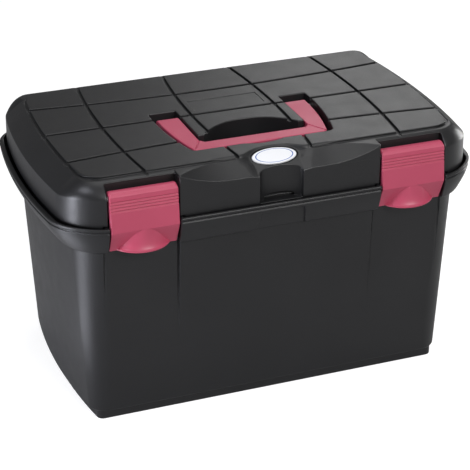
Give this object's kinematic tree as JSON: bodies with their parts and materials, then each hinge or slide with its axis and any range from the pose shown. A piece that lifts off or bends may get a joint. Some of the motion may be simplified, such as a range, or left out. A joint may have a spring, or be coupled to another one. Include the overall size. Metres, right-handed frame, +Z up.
{
  "type": "grooming box",
  "caption": "Lidded carrying box for horse grooming tools: drafted tub with a flared collar, hinged lid with a sunk folding handle, front latches and a lift-out tray.",
  "frame": {"origin": "on the ground, under the middle of the tub", "axes": "+X along the length, to the right of someone who faces the latches; -Y to the front with the latches; +Z up"},
  "size_m": [0.4, 0.257, 0.2335],
  "materials": {
    "black_plastic": "fine moulded grain, satin",
    "pink_plastic": "satin",
    "grey_plastic": "satin",
    "steel": "drawn wire",
    "white_plastic": "domed gloss"
  },
  "bodies": {
    "tub": {"tub": "black_plastic", "hinge_pin_left": "steel", "hinge_pin_right": "steel"},
    "lid": {"lid": "black_plastic", "latch_pin_left": "steel", "latch_pin_right": "steel", "handle_pin_left": "steel", "handle_pin_right": "steel", "badge": "white_plastic"},
    "latch_left": {"latch_left": "pink_plastic"},
    "latch_right": {"latch_right": "pink_plastic"},
    "handle": {"handle": "pink_plastic"},
    "tray": {"tray": "grey_plastic", "divider_left": "grey_plastic", "divider_right": "grey_plastic"}
  },
  "joints": [
    {"name": "lid_hinge", "type": "hinge", "parent": "tub", "child": "lid", "pos_m": [0, 0.127, 0.199], "axis": [-1, 0, 0], "range_deg": [0, 105]},
    {"name": "latch_left_hinge", "type": "hinge", "parent": "lid", "child": "latch_left", "pos_m": [-0.1218, -0.1115, 0.2186], "axis": [-1, 0, 0], "range_deg": [0, 100]},
    {"name": "latch_right_hinge", "type": "hinge", "parent": "lid", "child": "latch_right", "pos_m": [0.1218, -0.1115, 0.2186], "axis": [-1, 0, 0], "range_deg": [0, 100]},
    {"name": "handle_hinge", "type": "hinge", "parent": "lid", "child": "handle", "pos_m": [0, 0.001, 0.2255], "axis": [-1, 0, 0], "range_deg": [0, 90]},
    {"name": "tray_lift", "type": "slide", "parent": "tub", "child": "tray", "axis": [0, 0, 1], "range_m": [0, 0.034]}
  ]
}
